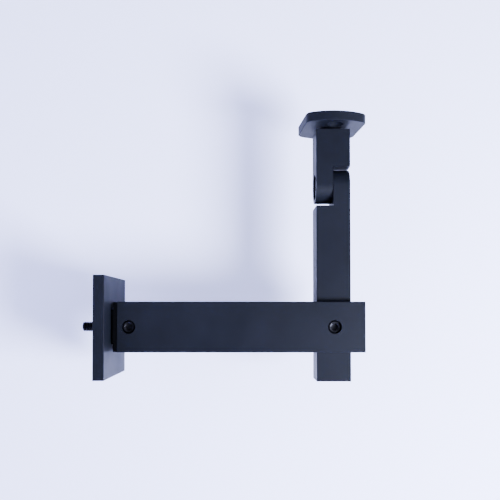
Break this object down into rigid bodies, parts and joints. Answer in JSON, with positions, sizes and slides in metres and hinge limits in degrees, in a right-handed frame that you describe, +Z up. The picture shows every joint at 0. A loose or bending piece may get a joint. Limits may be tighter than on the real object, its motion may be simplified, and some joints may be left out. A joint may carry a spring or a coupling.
{
  "type": "handrail wall bracket",
  "caption": "Adjustable wall bracket for a handrail: square plate, telescopic square arm, height-adjustable square post, tilting knuckle and swivelling saddle.",
  "frame": {"origin": "centre of the wall plate's back face", "axes": "+X away from the wall, +Y along the rail, +Z up"},
  "size_m": [0.1711, 0.06, 0.1592],
  "materials": {
    "painted_black": "satin black powder coat",
    "black_screw": "black oxide",
    "plated_screw": "zinc plated",
    "rubber_seal": "black rubber"
  },
  "bodies": {
    "base": {"wall_plate": "painted_black", "spigot": "painted_black", "mounting_screw": "black_screw", "mounting_washer": "plated_screw"},
    "arm": {"arm_tube": "painted_black", "arm_end_cap": "painted_black", "arm_seal": "rubber_seal"},
    "arm_screw": {"arm_grub_screw": "black_screw"},
    "post_screw": {"post_grub_screw": "black_screw"},
    "post": {"post": "painted_black", "pivot_screw": "black_screw"},
    "stem": {"stem": "painted_black", "saddle_screw": "black_screw"},
    "saddle": {"saddle_plate": "painted_black"}
  },
  "joints": [
    {"name": "arm_reach", "type": "slide", "parent": "base", "child": "arm", "axis": [1, 0, 0], "range_m": [-0.0017, 0.007]},
    {"name": "arm_screw_travel", "type": "slide", "parent": "arm", "child": "arm_screw", "axis": [0, -1, 0], "range_m": [0, 0.003]},
    {"name": "post_screw_travel", "type": "slide", "parent": "arm", "child": "post_screw", "axis": [0, -1, 0], "range_m": [0, 0.003]},
    {"name": "post_height", "type": "slide", "parent": "arm", "child": "post", "axis": [0, 0, 1], "range_m": [-0.055, 0.02]},
    {"name": "saddle_tilt", "type": "hinge", "parent": "post", "child": "stem", "pos_m": [0.139, 0, 0.0855], "axis": [1, 0, 0], "range_deg": [-90, 90]},
    {"name": "saddle_swivel", "type": "hinge", "parent": "stem", "child": "saddle", "pos_m": [0.139, 0, 0.1212], "axis": [0, 0, 1], "continuous": true}
  ]
}
